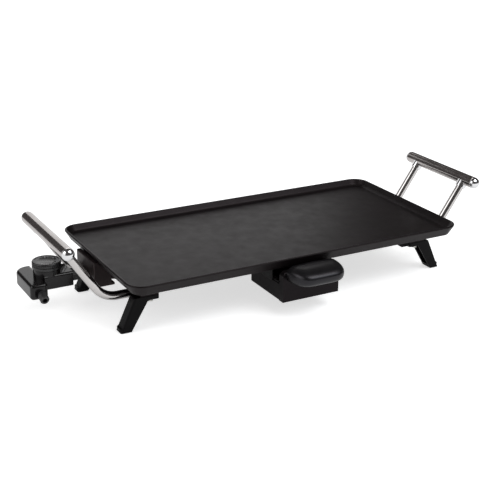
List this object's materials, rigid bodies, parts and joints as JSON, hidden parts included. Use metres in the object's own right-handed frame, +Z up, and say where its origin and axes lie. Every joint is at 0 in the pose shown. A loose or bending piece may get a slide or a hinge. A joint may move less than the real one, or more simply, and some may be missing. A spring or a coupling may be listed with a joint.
{
  "type": "electric griddle",
  "caption": "Table-top electric griddle: a shallow coated cast plate on splayed legs, with tube handles, a slide-out drip tray and a plug-in thermostat with a dial.",
  "frame": {"origin": "on the table, under the middle of the whole footprint", "axes": "+X along the long side, away from the thermostat; +Y to the back, away from the drip tray; +Z up"},
  "size_m": [0.6291, 0.2844, 0.1201],
  "materials": {
    "coated_plate": "dark non-stick coating, satin",
    "element_sheath": "drawn tube",
    "pin_metal": "plated, polished",
    "ceramic": "unglazed ceramic",
    "coated_shroud": "dark coating, satin",
    "leg_plastic": "grained",
    "pad_rubber": "matt",
    "screw_steel": "zinc plated",
    "rail_steel": "black, satin",
    "rod_chrome": "polished",
    "grip_finish": "polished",
    "cap_chrome": "polished",
    "tray_plastic": "satin gloss",
    "pull_plastic": "satin",
    "case_plastic": "gloss",
    "nose_plastic": "heat resistant",
    "dial_plastic": "satin",
    "bimetal": "rolled strip",
    "gland_rubber": "matt"
  },
  "bodies": {
    "griddle": {"griddle_plate": "coated_plate", "heating_element": "element_sheath", "terminal_pins": "pin_metal", "terminal_bushings": "ceramic", "socket_shroud": "coated_shroud", "shroud_screws": "screw_steel", "leg_screws": "screw_steel", "foot_pads": "pad_rubber", "lug_screws": "screw_steel", "tray_rail_right": "rail_steel", "tray_rail_left": "rail_steel", "rail_screws": "screw_steel", "leg_back_right": "leg_plastic", "handle_rod_back_right": "rod_chrome", "leg_front_right": "leg_plastic", "handle_rod_front_right": "rod_chrome", "leg_back_left": "leg_plastic", "handle_rod_back_left": "rod_chrome", "leg_front_left": "leg_plastic", "handle_rod_front_left": "rod_chrome", "grip_tube_right": "grip_finish", "grip_caps_right": "cap_chrome", "rod_collars_right": "cap_chrome", "grip_tube_left": "grip_finish", "grip_caps_left": "cap_chrome", "rod_collars_left": "cap_chrome"},
    "tray": {"drip_tray": "tray_plastic", "tray_pull": "pull_plastic", "pull_screws": "screw_steel"},
    "thermostat": {"thermostat_lower_case": "case_plastic", "thermostat_upper_case": "case_plastic", "case_screws": "screw_steel", "plug_nose": "nose_plastic", "contact_sockets": "pin_metal", "temperature_probe": "element_sheath", "switch_base": "nose_plastic", "bimetal_blade": "bimetal", "cord_gland": "gland_rubber"},
    "dial": {"temperature_dial": "dial_plastic", "dial_spindle": "pin_metal"}
  },
  "joints": [
    {"name": "tray_slide", "type": "slide", "parent": "griddle", "child": "tray", "axis": [0, -1, 0], "range_m": [0, 0.055]},
    {"name": "thermostat_unplug", "type": "slide", "parent": "griddle", "child": "thermostat", "axis": [-1, 0, 0], "range_m": [0, 0.05]},
    {"name": "dial_turn", "type": "hinge", "parent": "thermostat", "child": "dial", "pos_m": [-0.28405, 0.04929, 0.06], "axis": [0, 0, -1], "range_deg": [0, 270]}
  ]
}
